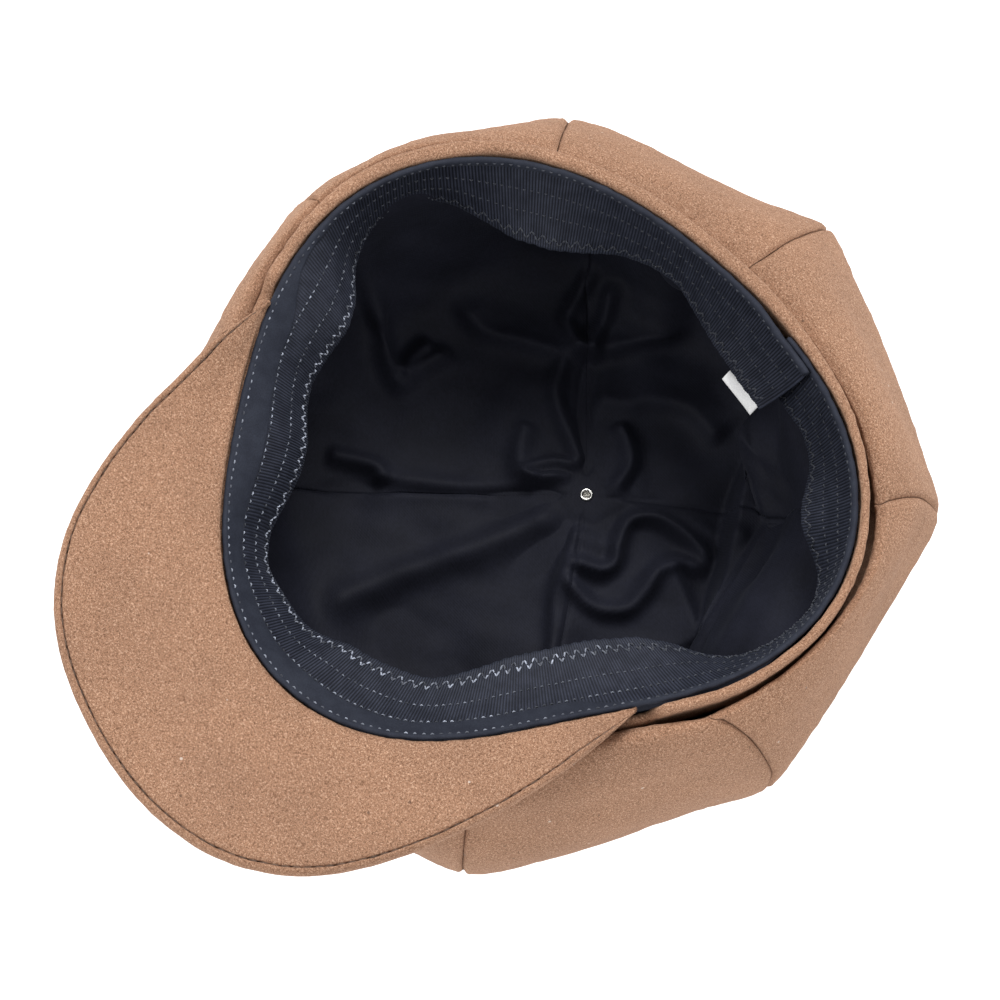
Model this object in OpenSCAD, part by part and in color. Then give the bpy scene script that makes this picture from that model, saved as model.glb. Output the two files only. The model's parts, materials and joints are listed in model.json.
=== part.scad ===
// Newsboy cap with eight felt gores, laid crown-down with its head opening up.
// The origin is the lowest point of the crown button. The brim points to -Y.

/* [Head opening] */
// Mean radius of the head opening at its rim
rim_r = 90.5; // [84:0.5:96]
// How far the opening swells at the front and at the two back corners
rim_swell = 7; // [0:0.5:9]
// Height of the rim above the table
rim_z = 100; // [92:1:108]
// How far the opening's middle lies in front of the button
rim_forward = 24; // [10:1:26]
// How far the soft cap has slumped sideways, to -X, from its button
slump = 7; // [0:1:9]

/* [Crown] */
// Radius of the crown at its eight seams
crown_r = 122; // [116:1:128]
// How much further the crown spreads at the back
crown_back = 6; // [0:1:8]
// Height of the crown's widest line
crown_z = 40; // [34:1:44]
// How strongly the crown's outline is an octagon: 0 round, 1 straight sides
crown_corner = 0.8; // [0:0.1:1]
// Thickness of the wool felt
felt = 2; // [1.6:0.1:2.4]
// Thickness of the cotton lining
cotton = 0.5; // [0.4:0.1:0.7]

/* [Sweatband] */
// Width of the grosgrain ribbon
ribbon_w = 28; // [22:1:30]
// Thickness of the ribbon
ribbon = 0.8; // [0.6:0.1:1]
// Visible width of the binding strip
binding_w = 8.5; // [6:0.5:9]
// Thickness of the sewing thread
thread = 0.5; // [0.3:0.1:0.6]
// Angle, round the opening, of the ribbon's upper end where its ends overlap
overlap_angle = 65; // [60:1:76]

/* [Brim] */
// Widest measure of the brim from side to side
brim_w = 172; // [166:1:178]
// Distance from the brim's widest line to its front edge
brim_reach = 122; // [112:1:130]
// Squareness of the brim's outline: 2 is an ellipse
brim_square = 2.4; // [2:0.1:2.8]
// How much higher the brim's front edge lies than its seam
brim_lift = 4; // [0:1:8]
// How much higher the brim's sides lie than its middle
brim_arch = 5; // [0:1:8]
// Thickness of the board inside the brim
board = 1.6; // [1.2:0.1:2]

/* [Button] */
// Radius of the covered button
button_r = 9.8; // [9:0.1:11]
// Outer radius of the button's tubular shank
shank_r = 1.6; // [1.4:0.1:1.8]

/* [Label] */
// Length of the size label along the ribbon's edge
label_w = 14; // [10:1:18]
// How far the label stands out past the ribbon's edge
label_h = 3.5; // [3:0.5:5]
// Where the label is sewn, as an angle round the opening
label_angle = 71; // [71:1:84]
// How far the label's fold turns away from the opening's own edge
label_skew = 20; // [10:1:24]

/* [Hidden] */
GORES = 8;
LININGS = 4;

WOOL = "peru";
NAVY = "midnightblue";
INK = "#151820";
THREAD = "lightslategray";
STEEL = "silver";
gap = 0.3;          // air between neighbouring layers
seam_gap = 0.2;     // half of the air between two neighbouring panels
gore_angle = 360 / GORES;
band_foot = rim_z - 23.4;
brim_span = 73;     // the brim reaches this many degrees each side of the front
brim_stack = 2 * felt + board + 2 * gap;
brim_seam_gap = 0.5;
lip = 3.2;          // how far the brim's upper cloth folds over on to its under side
webbing = 0.7;      // thickness of the band's stiffener

rim_centre = [-slump, -rim_forward];
crown_centre = [-slump, -19];
brim_centre = [-slump, -50];

// ---- Small helpers ----
function unit(v) = v / norm(v);
function mix(a, b, k) = a + (b - a) * k;
function ease(x) = let (k = max(0, min(1, x))) k * k * (3 - 2 * k);
function wrap(a) = ((a % 360) + 540) % 360 - 180;
function reverse(list) = [for (i = [len(list) - 1 : -1 : 0]) list[i]];
function strip(side, other) = concat(side, reverse(other));
function polar(centre, r, a, z) = [centre[0] + r * cos(a), centre[1] + r * sin(a), z];

// A smooth value at place s, from 0 to 1, through evenly spaced keys.
function key(keys, i) = keys[max(0, min(len(keys) - 1, i))];
function spline(keys, s) =
    let (x = s * (len(keys) - 1), i = min(floor(x), len(keys) - 2), t = x - i,
         a = key(keys, i - 1), b = key(keys, i), c = key(keys, i + 1), d = key(keys, i + 2))
    0.5 * (2 * b + (c - a) * t + (2 * a - 5 * b + 4 * c - d) * t * t
        + (3 * b - a - 3 * c + d) * t * t * t);

// Joins strip sections into one closed solid. A section is one side's points
// followed by the other side's points in reverse.
module loft(sections, ring = false) {
    n = len(sections[0]);
    count = len(sections);
    bays = ring ? count : count - 1;
    function at(k, j) = (k % count) * n + j % n;
    sides = [for (k = [0 : bays - 1], j = [0 : n - 1])
        each [[at(k, j), at(k + 1, j), at(k + 1, j + 1)],
              [at(k, j), at(k + 1, j + 1), at(k, j + 1)]]];
    ends = ring ? [] : [for (j = [0 : n / 2 - 2], last = [false, true])
        let (k = last ? count - 1 : 0,
             quad = [at(k, j), at(k, j + 1), at(k, n - 2 - j), at(k, n - 1 - j)],
             q = last ? reverse(quad) : quad)
        each [[q[0], q[1], q[2]], [q[0], q[2], q[3]]]];
    polyhedron(points = [for (s = sections) each s], faces = concat(sides, ends));
}

// ---- The rim ----
// Distance from the opening's middle to its rim, at angle a.
function rim_radius(a) = rim_r + rim_swell * sin(3 * a);
function rim_point(a, offset, z) = polar(rim_centre, rim_radius(a) + offset, a, z);
// 1 where the brim is sewn in, 0 elsewhere, with a soft step between.
function in_brim(a) = ease((brim_span + 5 - abs(wrap(a + 90))) / 5);

// ---- The crown and its lining ----
// Distance from the crown's middle to its widest line, at angle a.
function crown_radius(a) =
    let (seam = (a % gore_angle + gore_angle) % gore_angle - gore_angle / 2)
    (crown_r + crown_back * max(0, sin(a))) * pow(cos(gore_angle / 2) / cos(seam), crown_corner);

// Each key: how far the middle has moved from the button to the crown's own
// middle, the share of the widest radius, and the height.
CROWN_KEYS = [
    [0, 0.02, 4.8], [0.02, 0.1, 4.5], [0.1, 0.2, 2.2], [0.25, 0.33, 0.4],
    [0.4, 0.46, 0], [0.6, 0.6, 0], [0.85, 0.78, 1], [1, 0.91, 8],
    [1, 0.985, crown_z - 18], [1, 1, crown_z], [1, 0.975, crown_z + 18]];
LINING_KEYS = [
    [0, 0.02, 7.8], [0.02, 0.1, 7.5], [0.1, 0.2, 5.4], [0.25, 0.33, 3.6],
    [0.45, 0.46, 3.2], [0.7, 0.58, 3.8], [0.9, 0.68, 9], [1, 0.73, crown_z - 18],
    [1, 0.75, crown_z], [1, 0.76, crown_z + 18]];
// The crown folds in to the band's foot, and the lining runs up inside the band.
tuck = [5.5, band_foot - 1];
LINING_TUCK = [[1.6, rim_z - 28], [0.9, rim_z - 18], [0.9, rim_z - 6]];

function keys_at(keys, a) =
    [for (k = keys) polar(crown_centre * k[0], crown_radius(a) * k[1], a, k[2])];
function crown_keys(a) =
    let (keys = keys_at(CROWN_KEYS, a), foot = rim_point(a, tuck[0], tuck[1]),
         half = mix(keys[len(keys) - 1], foot, 0.5))
    concat(keys, [[half[0], half[1], tuck[1] + 1.2], foot]);
function lining_keys(a) =
    concat(keys_at(LINING_KEYS, a), [for (k = LINING_TUCK) rim_point(a, k[0], k[1])]);

crown_skin = function(a, s) spline(crown_keys(a), s);
lining_skin = function(a, s) spline(lining_keys(a), s);

// The direction into the cap, square to a surface.
function inward(skin, a, s) =
    let (e = 0.01, before = skin(a, max(0, s - e)), after = skin(a, min(1, s + e)))
    unit(cross(after - before, skin(a + 1, s) - skin(a - 1, s)));

// A panel between two seam angles: a sheet of the given thickness inside a surface.
module panel(skin, from, to, thick, across, along) {
    inset = [for (j = [0 : along])
        let (s = j / along)
        asin(seam_gap / (norm(skin(from, s) - skin(from + 180, s)) / 2))];
    loft([for (i = [0 : across])
        let (places = [for (j = [0 : along]) [mix(from + inset[j], to - inset[j], i / across), j / along]],
             outside = [for (p = places) skin(p[0], p[1])],
             inside = [for (p = places) skin(p[0], p[1]) + thick * inward(skin, p[0], p[1])])
        strip(inside, outside)]);
}

module crown_panel(i) {
    color(WOOL)
        panel(crown_skin, (i - 1) * gore_angle, i * gore_angle, felt, 6, 24);
}

module lining_panel(i) {
    color(INK)
        panel(lining_skin, i * 90 - 45, i * 90 + 45, cotton, 9, 28);
}

// ---- The band ----
RING_STEPS = 80;
// Sweeps a section, a list of [offset, height] pairs for each side, round the rim.
module rim_sweep(side, other) {
    loft([for (i = [0 : RING_STEPS - 1])
        let (a = 360 * i / RING_STEPS, drop = in_brim(a) * (brim_stack + gap))
        strip([for (p = side(drop)) rim_point(a, p[0], p[1])],
              [for (p = other(drop)) rim_point(a, p[0], p[1])])], ring = true);
}
band_in = cotton + 0.7;                       // the band's inner face, past the lining
stiffener_in = band_in + felt + gap;
band_out = stiffener_in + webbing + gap + felt;

module outer_band() {
    color(WOOL)
        rim_sweep(
            function(drop) [[band_out, band_foot], [band_out, rim_z - 1.5 - drop],
                [band_out - 1.2, rim_z - drop], [band_in + 1.2, rim_z - drop],
                [band_in, rim_z - 1.5 - drop], [band_in, band_foot + 4]],
            function(drop) [[band_out - felt, band_foot], [band_out - felt, rim_z - 2.4 - drop],
                [band_out - felt - 0.1, rim_z - 2.2 - drop], [band_in + felt + 0.1, rim_z - 2.2 - drop],
                [band_in + felt, rim_z - 2.4 - drop], [band_in + felt, band_foot + 4]]);
}

module band_stiffener() {
    color("gainsboro")
        rim_sweep(
            function(drop) [[stiffener_in + webbing, band_foot + 0.5],
                [stiffener_in + webbing, rim_z - 3 - drop]],
            function(drop) [[stiffener_in, band_foot + 0.5], [stiffener_in, rim_z - 3 - drop]]);
}

// ---- The sweatband ----
ribbon_top = rim_z - 1.4;
ribbon_in = 2.2;                              // the ribbon's top edge, inside the rim
binding = 0.6;                                // thickness of the binding strip
binding_half = ribbon / 2 + gap + binding;
overlap_step = 2 * binding_half + gap;        // one end lies this far over the other
// How far the ribbon's free edge leans in over the opening, at angle a. Its two
// ends are sewn down where they overlap, and lean less.
function press(a) = 0.6 + 0.4 * ease(min(a - overlap_angle, overlap_angle + 360 - a) / 15);
function lean(a) = press(a) * (13 - 8 * sin(a) + 3 * cos(3 * (a + 50)));
// Near its upper end, the ribbon rides over its lower end.
function lift_over(a) = overlap_step * (1 - ease((a - overlap_angle) / 40));
// A point on the ribbon: down is measured from its top edge, out from its middle
// towards the wearer's head.
function on_ribbon(a, down, out) =
    let (l = lean(a) / ribbon_w, d = sqrt(1 - l * l), n = out + lift_over(a))
    rim_point(a, -ribbon_in - l * down - d * n, ribbon_top - d * down + l * n);

module ribbon_sweep(side, other, turn, steps = RING_STEPS) {
    loft([for (i = [0 : steps])
        let (a = overlap_angle + turn * i / steps)
        strip([for (p = side(i)) on_ribbon(a, p[0], p[1])],
              [for (p = other(i)) on_ribbon(a, p[0], p[1])])]);
}

// Where the rows of stitches run, as shares of the ribbon's width.
ROWS = [0.34, 0.62, 0.9];

module sweatband() {
    half = ribbon / 2;
    downs = [0, binding_w, ROWS[0] * ribbon_w, ROWS[1] * ribbon_w, ROWS[2] * ribbon_w, ribbon_w];
    color(NAVY)
        ribbon_sweep(function(i) [for (d = downs) [d, -half]],
                     function(i) [for (d = downs) [d, half]], 368);
}

module rim_binding() {
    in = binding_half - binding;
    color(INK)
        ribbon_sweep(
            function(i) [[2.5, -binding_half], [-gap - binding, -binding_half],
                [-gap - binding, binding_half], [binding_w, binding_half]],
            function(i) [[2.5, -in], [-gap, -in], [-gap, in], [binding_w, in]], 368);
}

// A row of thread, at a distance down the ribbon and a height off its middle.
// swing moves every second point down, for a zigzag.
module thread_row(down, out, swing = 0, steps = RING_STEPS) {
    color(THREAD)
        ribbon_sweep(
            function(i) let (d = down + swing * (i % 2)) [[d, out], [d + thread, out]],
            function(i) let (d = down + swing * (i % 2)) [[d, out + thread], [d + thread, out + thread]],
            359, steps);
}

module rim_stitch() {
    thread_row(1.4, binding_half + 0.25);
}
module sweatband_stitch_upper() {
    thread_row(ROWS[0] * ribbon_w - thread / 2, ribbon / 2 + 0.15);
}
module sweatband_stitch_lower() {
    thread_row(ROWS[1] * ribbon_w - thread / 2, ribbon / 2 + 0.15);
}
module zigzag_stitch() {
    thread_row(ROWS[2] * ribbon_w - 1.2, ribbon / 2 + 0.35, 2.4, 3 * RING_STEPS);
}

// ---- The brim ----
BRIM_STEPS = 40;
function brim_outline(u) =
    let (a = -90 + 91 * u,
         x = pow(abs(cos(a)) / (brim_w / 2), brim_square),
         y = pow(abs(sin(a)) / brim_reach, brim_square))
    polar(brim_centre, pow(x + y, -1 / brim_square), a, rim_z + 0.2);
function brim_seam(u) = rim_point(-90 + brim_span * u, brim_seam_gap, rim_z + 0.2);
function brim_depth(u) = norm(brim_outline(u) - brim_seam(u));
// A point of the brim. u runs from -1 to 1 along it, v from its seam at 0 to its
// edge at 1, and down is measured from the face that lies uppermost.
function brim_point(u, v, down) =
    mix(brim_seam(u), brim_outline(u), v) + [0, 0, v * (brim_lift + brim_arch * u * u) - down];
// The place that lies this far in from the brim's edge.
function from_edge(u, e) = max(0.05, 1 - e / brim_depth(u));

// Sweeps [v, down] pairs for each side along the brim.
module brim_sweep(side, other, reach = 1) {
    loft([for (i = [0 : BRIM_STEPS])
        let (u = reach * (2 * i / BRIM_STEPS - 1))
        strip([for (p = side(u)) brim_point(u, p[0], p[1])],
              [for (p = other(u)) brim_point(u, p[0], p[1])])]);
}

module brim_under_cloth() {
    edge = lip + thread + gap;
    color(WOOL)
        brim_sweep(function(u) [[0, felt], [from_edge(u, edge), felt]],
                   function(u) [[0, 0], [from_edge(u, edge), 0]]);
}

module brim_board() {
    top = felt + gap;
    color("gray")
        brim_sweep(
            function(u) [[2 / brim_depth(u), top + board], [from_edge(u, felt + 2), top + board]],
            function(u) [[2 / brim_depth(u), top], [from_edge(u, felt + 2), top]], reach = 0.88);
}

module brim_upper_cloth() {
    low = brim_stack;
    color("sienna")
        brim_sweep(
            function(u) [[0, low], [from_edge(u, 1), low], [1, low - 1.4], [1, 1.4],
                [from_edge(u, 1), 0], [from_edge(u, lip), 0]],
            function(u) [[0, low - felt], [from_edge(u, felt + 0.6), low - felt],
                [from_edge(u, felt), low - felt - 0.3], [from_edge(u, felt), felt + 0.3],
                [from_edge(u, felt + 0.6), felt], [from_edge(u, lip), felt]]);
}

module brim_edge_stitch() {
    near = lip + 0.15;
    color(THREAD)
        brim_sweep(
            function(u) [[from_edge(u, near + thread), 0.3 + thread], [from_edge(u, near), 0.3 + thread]],
            function(u) [[from_edge(u, near + thread), 0.3], [from_edge(u, near), 0.3]]);
}

// ---- The button ----
BUTTON_FN = 64;
button_top = 4.1;

module button_cover() {
    r = button_r;
    color(WOOL)
        rotate_extrude($fn = BUTTON_FN)
            polygon([[0, 0], [0.5 * r, 0], [0.78 * r, 0.45], [0.94 * r, 1.5], [r, 2.9],
                [r - 0.2, button_top], [r - 1.4, button_top], [r - 1.3, 3], [r - 1.8, 2.1],
                [0.7 * r, 1.5], [0.5 * r, 1.25], [0, 1.25]]);
}

module button_shell() {
    r = button_r - 1.6;
    color(STEEL)
        rotate_extrude($fn = BUTTON_FN)
            polygon([[0, 1.4], [0.6 * r, 1.4], [0.82 * r, 1.75], [0.95 * r, 2.4], [r, 3.1],
                [r - 0.1, button_top], [r - 0.5, button_top], [r - 0.4, 3.2], [0.9 * r, 2.6],
                [0.79 * r, 2.1], [0.58 * r, 1.8], [0, 1.8]]);
}

module button_backplate() {
    color(STEEL)
        translate([0, 0, button_top - 0.5])
            difference() {
                cylinder(r = button_r - 2.3, h = 0.5, $fn = BUTTON_FN);
                translate([0, 0, -1])
                    cylinder(r = shank_r + 0.15, h = 3, $fn = BUTTON_FN);
            }
}

// A flanged tube whose far end is rolled outwards over the lining.
module button_shank() {
    foot = 2;
    top = 9.2;
    roll = 0.5;
    color(STEEL) {
        translate([0, 0, foot])
            difference() {
                union() {
                    cylinder(r = shank_r + 1.2, h = 0.4, $fn = BUTTON_FN);
                    cylinder(r = shank_r, h = top - foot, $fn = BUTTON_FN);
                    translate([0, 0, top - foot])
                        rotate_extrude($fn = BUTTON_FN)
                            translate([shank_r + 0.1, 0])
                                circle(r = roll, $fn = 24);
                }
                translate([0, 0, -1])
                    cylinder(r = shank_r - 0.4, h = top + 2, $fn = BUTTON_FN);
            }
    }
}

// ---- The size label ----
label_thick = 0.7;
label_tilt = 35;
hinge = on_ribbon(label_angle, ribbon_w + 0.9, 0);

// The label's fold is round, and it turns about the middle of that fold.
module size_label() {
    color("white")
        translate(hinge)
            rotate([0, 0, label_angle + label_skew])
                rotate([0, 180 - label_tilt, 0]) {
                    rotate([90, 0, 0])
                        cylinder(r = label_thick / 2, h = label_w, center = true, $fn = 24);
                    translate([0, -label_w / 2, -label_thick / 2])
                        cube([label_h, label_w, label_thick]);
                }
}

for (i = [1 : GORES])
    crown_panel(i);
for (i = [1 : LININGS])
    lining_panel(i);
outer_band();
band_stiffener();
sweatband();
rim_binding();
rim_stitch();
sweatband_stitch_upper();
sweatband_stitch_lower();
zigzag_stitch();
brim_upper_cloth();
brim_board();
brim_under_cloth();
brim_edge_stitch();
button_cover();
button_shell();
button_backplate();
button_shank();
size_label();
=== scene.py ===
"""A wool-felt newsboy cap lying crown-down with its head opening up.

Every length is in millimetres until a mesh is made, in the CAD model's frame:
the brim points to -Y, +Z is up out of the head opening.
"""

import json

import bpy
import numpy as np
from mathutils import Matrix, Vector


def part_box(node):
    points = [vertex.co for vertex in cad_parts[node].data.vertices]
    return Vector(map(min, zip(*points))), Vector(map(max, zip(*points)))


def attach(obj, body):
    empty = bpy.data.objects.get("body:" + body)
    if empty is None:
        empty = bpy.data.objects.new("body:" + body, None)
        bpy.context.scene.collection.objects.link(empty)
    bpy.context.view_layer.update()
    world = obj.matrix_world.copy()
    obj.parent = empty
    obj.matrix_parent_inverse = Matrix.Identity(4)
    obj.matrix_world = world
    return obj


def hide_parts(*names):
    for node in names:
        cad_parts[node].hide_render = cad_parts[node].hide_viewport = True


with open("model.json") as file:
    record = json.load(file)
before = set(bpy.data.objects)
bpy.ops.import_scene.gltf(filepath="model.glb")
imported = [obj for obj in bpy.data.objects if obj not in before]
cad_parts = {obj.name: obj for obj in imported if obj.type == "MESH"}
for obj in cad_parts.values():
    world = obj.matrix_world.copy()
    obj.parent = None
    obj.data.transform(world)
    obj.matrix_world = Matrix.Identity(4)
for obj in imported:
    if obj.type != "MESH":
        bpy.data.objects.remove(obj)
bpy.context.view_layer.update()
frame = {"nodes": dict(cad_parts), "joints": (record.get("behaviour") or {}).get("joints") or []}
MM = 0.001
rng = np.random.default_rng(20)


def low_high(node_name):
    """The lowest and the highest corner of a CAD node, in mm."""
    return [np.array(c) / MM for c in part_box(node_name)]


# ---- Places taken from the CAD model ----
BAND_FOOT, RIM_Z = (corner[2] for corner in low_high("outer_band"))
BUTTON = low_high("button_cover")
BRIM_TOP = RIM_Z + 0.2  # the face of the brim that lies uppermost, at its seam

# ---- Design values: lengths in mm, angles in degrees from +X ----
RIM_CENTRE = np.array([-6.0, -24.0])
CROWN_CENTRE = np.array([-7.0, -19.0])
BRIM_CENTRE = np.array([-8.0, -50.0])
FELT = 2.0  # thickness of the wool felt
COTTON = 0.5  # thickness of the lining
RIBBON = 0.8  # thickness of the grosgrain
RIBBON_W = 28.0
RIBBON_IN = 0.7  # how far inside the rim the ribbon hangs
RIBBON_TOP = RIM_Z - 1.4
OVERLAP_FROM = 65.0  # where the ribbon starts
OVERLAP = 8.0  # how far its two ends overlap
BAND_IN = 0.75  # how far outside the rim the band's inner face lies
BRIM_SPAN = 73.0  # the brim's seam reaches this far each side of the front
BRIM_STACK = 6.2  # the brim's whole thickness
LIP = 2.2  # how far the brim's upper cloth folds over its edge
SEAMS = [-3.0, 44.0, 90.0, 133.0, 179.0, 222.0, 268.0, 309.0, 357.0]
LINING_SEAMS = [-51.0, 42.0, 138.0, 227.5, 309.0]


# ---- Maths helpers ----
def ease(x):
    """Climbs smoothly from 0 to 1 while x goes from 0 to 1."""
    k = np.clip(x, 0, 1)
    return k * k * (3 - 2 * k)


def wrap(a):
    """The same angle, from -180 to 180."""
    return (np.asarray(a) + 180.0) % 360.0 - 180.0


def smooth_ring(keys, sigma):
    """A smooth periodic function through (angle, value) keys, softened by sigma degrees."""
    grid = np.arange(0, 360, 0.25)
    keys = sorted((k % 360, v) for k, v in keys)
    ang = np.array([k for k, _ in keys])
    val = np.array([v for _, v in keys])
    line = np.interp(grid, ang, val, period=360)
    freq = np.fft.rfftfreq(len(grid), 0.25)
    line = np.fft.irfft(np.fft.rfft(line) * np.exp(-2 * (np.pi * freq * sigma) ** 2), len(grid))
    return lambda a: np.interp(np.asarray(a) % 360, grid, line, period=360)


def polar(centre, r, a, z):
    """The points at radius r and angle a about a centre, at height z."""
    a = np.radians(a)
    x, y = centre[0] + r * np.cos(a), centre[1] + r * np.sin(a)
    return np.stack(np.broadcast_arrays(x, y, np.asarray(z, float)), -1)


def unit(v):
    return v / np.maximum(np.linalg.norm(v, axis=-1, keepdims=True), 1e-9)


def catmull(keys, s):
    """keys (..., K, 3) and places s from 0 to 1 (n) give points (..., n, 3)."""
    count = keys.shape[-2]
    x = s * (count - 1)
    i = np.minimum(x.astype(int), count - 2)
    t = (x - i)[:, None]
    a, b, c, d = (keys[..., np.clip(i + o, 0, count - 1), :] for o in (-1, 0, 1, 2))
    return 0.5 * (
        2 * b + (c - a) * t + (2 * a - 5 * b + 4 * c - d) * t**2 + (3 * b - a - 3 * c + d) * t**3
    )


def waves(p, size, seed, octaves=3):
    """Smooth seeded noise, about -1 to 1, at points p, with features of that size in mm."""
    r = np.random.default_rng(seed)
    total = np.zeros(p.shape[:-1])
    for o in range(octaves):
        for _ in range(5):
            k = unit(r.normal(size=3)) * (2 * np.pi / size) * 1.9**o * r.uniform(0.7, 1.3)
            total += np.sin(p @ k + r.uniform(0, 6.28)) * 0.55**o / 2.6
    return total


def along_line(xy, line):
    """Distance to a polyline, the side it lies on (+ left), and the share of its length."""
    line = np.array(line, float)
    seg = np.linalg.norm(np.diff(line, axis=0), axis=1)
    start = np.concatenate([[0], np.cumsum(seg)])
    best = np.full(xy.shape[:-1], 1e9)
    side = np.zeros_like(best)
    share = np.zeros_like(best)
    for k in range(len(seg)):
        a, b = line[k], line[k + 1]
        d = (b - a) / seg[k]
        rel = xy - a
        t = np.clip(rel @ d, 0, seg[k])
        off = rel - t[..., None] * d
        dist = np.linalg.norm(off, axis=-1)
        near = dist < best
        cross = d[0] * rel[..., 1] - d[1] * rel[..., 0]
        best = np.where(near, dist, best)
        side = np.where(near, np.sign(cross), side)
        share = np.where(near, (start[k] + t) / start[-1], share)
    return best, side, share


def curve_through(points, steps=12):
    """A smooth polyline through a few (x, y) points."""
    p = np.array([(*q, 0) for q in points], float)
    return catmull(p, np.linspace(0, 1, steps * (len(p) - 1) + 1))[:, :2]


# ---- Mesh helpers ----
def make_mesh(name, verts, quads, body, replaces, material, tone=None):
    """A mesh from points in mm and faces of four corners, with a tone for each point.

    It rides on the body and takes the place of the CAD nodes in replaces.
    """
    mesh = bpy.data.meshes.new(name)
    verts = np.asarray(verts, np.float32).reshape(-1, 3) * MM
    quads = np.asarray(quads, np.int32).reshape(-1, 4)
    a, b, c, d = (verts[quads[:, k]] for k in range(4))
    if np.einsum("ij,ij->i", a, np.cross(b, c) + np.cross(c, d)).sum() < 0:
        quads = quads[:, ::-1]
    quads = np.ascontiguousarray(quads)
    mesh.vertices.add(len(verts))
    mesh.vertices.foreach_set("co", verts.ravel())
    mesh.loops.add(quads.size)
    mesh.loops.foreach_set("vertex_index", quads.ravel())
    mesh.polygons.add(len(quads))
    mesh.polygons.foreach_set("loop_start", np.arange(0, quads.size, 4, dtype=np.int32))
    mesh.polygons.foreach_set("use_smooth", np.ones(len(quads), bool))
    if tone is not None:
        mesh.attributes.new("tone", "FLOAT", "POINT").data.foreach_set(
            "value", np.asarray(tone, np.float32)
        )
    mesh.update(calc_edges=True)
    mesh.validate()
    obj = bpy.data.objects.new(name, mesh)
    bpy.context.scene.collection.objects.link(obj)
    mesh.materials.append(material)
    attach(obj, body)
    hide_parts(*replaces)
    return obj


def tube_faces(rows, ring, closed_rows):
    """Faces between neighbouring rows, each a closed loop of that many points."""
    i = np.arange(rows if closed_rows else rows - 1)[:, None]
    j = np.arange(ring)[None, :]
    a, b = (i % rows) * ring, ((i + 1) % rows) * ring
    k = (j + 1) % ring
    return np.stack([a + j, b + j, b + k, a + k], -1).reshape(-1, 4)


def loft(loops, closed=False):
    """Points and faces of a solid from closed loops (m, n, 3), its ends capped."""
    m, n, _ = loops.shape
    faces = [tube_faces(m, n, closed)]
    if not closed:
        half = n // 2
        for base, flip in ((0, False), ((m - 1) * n, True)):
            for j in range(half - 1):
                q = [base + j, base + j + 1, base + n - 2 - j, base + n - 1 - j]
                faces.append(np.array([q[::-1] if flip else q]))
    return loops.reshape(-1, 3), np.concatenate(faces)


def grid_normals(p, closed):
    """Unit normals of a grid of points, which may close on itself along its rows."""
    if closed:
        du = np.roll(p, -1, 0) - np.roll(p, 1, 0)
    else:
        du = np.gradient(p, axis=0)
    dv = np.gradient(p, axis=1)
    return unit(np.cross(du, dv))


def soften(normal, times):
    """Average each normal with its neighbours, so that a thick back doesn't fold over itself."""
    for _ in range(times):
        for axis in (0, 1):
            n = np.moveaxis(normal, axis, 0)
            n = np.concatenate([n[:1], n, n[-1:]])
            normal = np.moveaxis(n[:-2] + 2 * n[1:-1] + n[2:], 0, axis)
        normal = unit(normal)
    return normal


def cloth(front, thick, closed=False, side=1.0, bulge=0.3, soft=0):
    """Loops of a sheet with soft edges: front (m, n, 3) and a back at that thickness."""
    normal = soften(grid_normals(front, closed), soft) * side
    t = np.broadcast_to(thick, front.shape[:2])[..., None]
    back = front - normal * t
    mid = (front + back) / 2
    out0 = unit(front[:, 0] - front[:, 1]) * t[:, 0] * 0.35
    out1 = unit(front[:, -1] - front[:, -2]) * t[:, -1] * 0.35

    def end(i, j):
        """The narrow last row beyond row i, away from row j."""
        o = unit(front[i] - front[j]) * t[i] * bulge
        return mid[i] + (front[i] - mid[i]) * 0.35 + o, mid[i] + (back[i] - mid[i]) * 0.35 + o

    if closed:
        rows_f, rows_b = front, back
        cap0, cap1 = mid[:, 0] + out0, mid[:, -1] + out1
    else:
        f0, b0 = end(0, 1)
        f1, b1 = end(-1, -2)
        rows_f = np.concatenate([f0[None], front, f1[None]])
        rows_b = np.concatenate([b0[None], back, b1[None]])
        mids = (rows_f + rows_b) / 2
        o0 = np.concatenate([out0[:1] * 0.4, out0, out0[-1:] * 0.4])
        o1 = np.concatenate([out1[:1] * 0.4, out1, out1[-1:] * 0.4])
        cap0, cap1 = mids[:, 0] + o0, mids[:, -1] + o1
    return np.concatenate([rows_f, cap1[:, None], rows_b[:, ::-1], cap0[:, None]], axis=1)


def cloth_piece(
    name, front, thick, body, replaces, material,
    closed=False, side=1.0, tone=None, bulge=0.3, soft=0,
):
    """A mesh piece from the face of a cloth that shows and the cloth's thickness."""
    loops = cloth(front, thick, closed, side, bulge, soft)
    verts, faces = loft(loops, closed)
    if tone is not None:
        tone = tone if closed else np.concatenate([tone[:1], tone, tone[-1:]])
        tone = np.concatenate([tone, tone[:, -1:], tone[:, ::-1], tone[:, :1]], axis=1).ravel()
    return make_mesh(name, verts, faces, body, replaces, material, tone=tone)


# ---- Materials ----
def node(tree, kind, inputs=None, **props):
    """A shader node with its properties and its inputs, which may be other nodes' outputs."""
    made = tree.nodes.new(kind)
    for k, v in props.items():
        setattr(made, k, v)
    for k, v in (inputs or {}).items():
        socket = made.inputs[k]
        if isinstance(v, bpy.types.NodeSocket):
            tree.links.new(v, socket)
        else:
            socket.default_value = v
    return made


def rgb(*c):
    return (*c, 1.0)


def new_material(name, sockets):
    """A material with one Principled shader, and the place on the object to drive it."""
    mat = bpy.data.materials.new(name)
    mat.use_nodes = True
    tree = mat.node_tree
    tree.nodes.clear()
    out = node(tree, "ShaderNodeOutputMaterial")
    shader = node(tree, "ShaderNodeBsdfPrincipled", sockets)
    tree.links.new(shader.outputs[0], out.inputs[0])
    place = node(tree, "ShaderNodeTexCoord").outputs["Object"]
    return mat, tree, shader, place


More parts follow.
